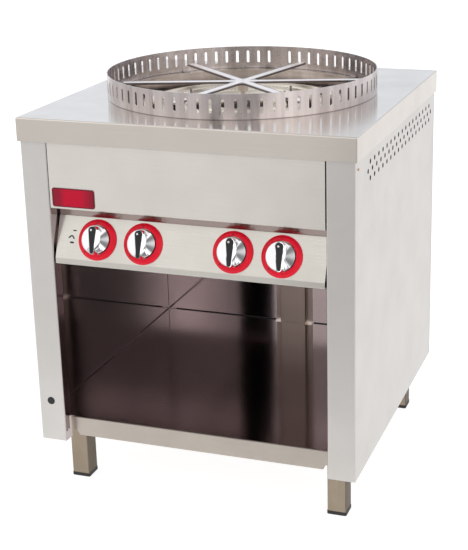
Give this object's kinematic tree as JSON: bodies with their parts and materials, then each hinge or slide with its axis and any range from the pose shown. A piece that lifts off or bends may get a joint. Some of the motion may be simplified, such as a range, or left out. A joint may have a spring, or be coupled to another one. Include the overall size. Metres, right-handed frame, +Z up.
{
  "type": "gas stove",
  "caption": "Free-standing stainless gas stove with a ring burner, a slotted guard ring, a turning star for the pan, tap knobs on a sloping panel and an open cabinet.",
  "frame": {"origin": "on the floor, under the middle of the worktop", "axes": "+Z up, -Y towards the user and the taps, +X to the user's right"},
  "size_m": [0.7, 0.7598, 0.861],
  "materials": {
    "brushed_sheet": "brushed stainless sheet",
    "inner_sheet": "plain stainless sheet",
    "polished_sheet": "polished stainless sheet",
    "burner_steel": "bright steel tube",
    "star_steel": "ground stainless bar",
    "pipe_steel": "zinc plated pipe",
    "leg_steel": "brushed stainless tube",
    "brass": "turned brass",
    "knob_chrome": "chrome plated",
    "black_plastic": "moulded",
    "foot_plastic": "moulded",
    "red_enamel": "satin red"
  },
  "bodies": {
    "stove": {"back_panel": "inner_sheet", "back_stiffener": "inner_sheet", "bearing_housing": "pipe_steel", "bearing_plate": "inner_sheet", "bezel_1": "red_enamel", "bezel_2": "red_enamel", "bezel_3": "red_enamel", "bezel_4": "red_enamel", "bottom_shelf": "brushed_sheet", "chamber_wall": "polished_sheet", "control_panel": "brushed_sheet", "foot_caps": "foot_plastic", "front_fascia": "brushed_sheet", "front_plate": "red_enamel", "gas_feed_pipe": "pipe_steel", "gas_inlet": "brass", "gas_manifold": "pipe_steel", "injector_holder": "inner_sheet", "injectors": "brass", "inner_deck": "inner_sheet", "left_side_panel": "brushed_sheet", "leg_back_left": "leg_steel", "leg_back_right": "leg_steel", "leg_front_left": "leg_steel", "leg_front_right": "leg_steel", "pillar_plug": "black_plastic", "right_side_panel": "brushed_sheet", "ring_burner_1": "burner_steel", "ring_burner_2": "burner_steel", "ring_burner_3": "burner_steel", "ring_burner_4": "burner_steel", "ring_clips": "polished_sheet", "slotted_ring": "polished_sheet", "supply_pipes": "brass", "support_rails": "inner_sheet", "tap_body_1": "brass", "tap_body_2": "brass", "tap_body_3": "brass", "tap_body_4": "brass", "thermocouples": "pipe_steel", "worktop": "brushed_sheet"},
    "tap_1": {"tap_plug_1": "brass"},
    "knob_1": {"tap_spindle_1": "pipe_steel", "knob_1": "knob_chrome", "knob_insert_1": "black_plastic"},
    "tap_2": {"tap_plug_2": "brass"},
    "knob_2": {"tap_spindle_2": "pipe_steel", "knob_2": "knob_chrome", "knob_insert_2": "black_plastic"},
    "tap_3": {"tap_plug_3": "brass"},
    "knob_3": {"tap_spindle_3": "pipe_steel", "knob_3": "knob_chrome", "knob_insert_3": "black_plastic"},
    "tap_4": {"tap_plug_4": "brass"},
    "knob_4": {"tap_spindle_4": "pipe_steel", "knob_4": "knob_chrome", "knob_insert_4": "black_plastic"},
    "shaft": {"star_shaft": "star_steel", "shaft_collar": "pipe_steel"},
    "star": {"star": "star_steel"}
  },
  "joints": [
    {"name": "star_turn", "type": "hinge", "parent": "stove", "child": "shaft", "pos_m": [0, 0.006, 0.78], "axis": [0, 0, 1], "continuous": true},
    {"name": "star_lift", "type": "slide", "parent": "shaft", "child": "star", "axis": [0, 0, 1], "range_m": [0, 0.025]},
    {"name": "tap_turn_1", "type": "hinge", "parent": "stove", "child": "tap_1", "pos_m": [-0.195, -0.32795, 0.56228], "axis": [0, -0.9368, 0.3499], "range_deg": [0, 135]},
    {"name": "knob_push_1", "type": "slide", "parent": "tap_1", "child": "knob_1", "axis": [0, 0.9368, -0.3499], "range_m": [0, 0.003], "stiffness_N_per_m": 600, "springref_m": -0.006},
    {"name": "tap_turn_2", "type": "hinge", "parent": "stove", "child": "tap_2", "pos_m": [-0.09499, -0.32795, 0.56228], "axis": [0, -0.9368, 0.3499], "range_deg": [0, 135]},
    {"name": "knob_push_2", "type": "slide", "parent": "tap_2", "child": "knob_2", "axis": [0, 0.9368, -0.3499], "range_m": [0, 0.003], "stiffness_N_per_m": 600, "springref_m": -0.006},
    {"name": "tap_turn_3", "type": "hinge", "parent": "stove", "child": "tap_3", "pos_m": [0.09499, -0.32795, 0.56228], "axis": [0, -0.9368, 0.3499], "range_deg": [0, 135]},
    {"name": "knob_push_3", "type": "slide", "parent": "tap_3", "child": "knob_3", "axis": [0, 0.9368, -0.3499], "range_m": [0, 0.003], "stiffness_N_per_m": 600, "springref_m": -0.006},
    {"name": "tap_turn_4", "type": "hinge", "parent": "stove", "child": "tap_4", "pos_m": [0.195, -0.32795, 0.56228], "axis": [0, -0.9368, 0.3499], "range_deg": [0, 135]},
    {"name": "knob_push_4", "type": "slide", "parent": "tap_4", "child": "knob_4", "axis": [0, 0.9368, -0.3499], "range_m": [0, 0.003], "stiffness_N_per_m": 600, "springref_m": -0.006}
  ]
}
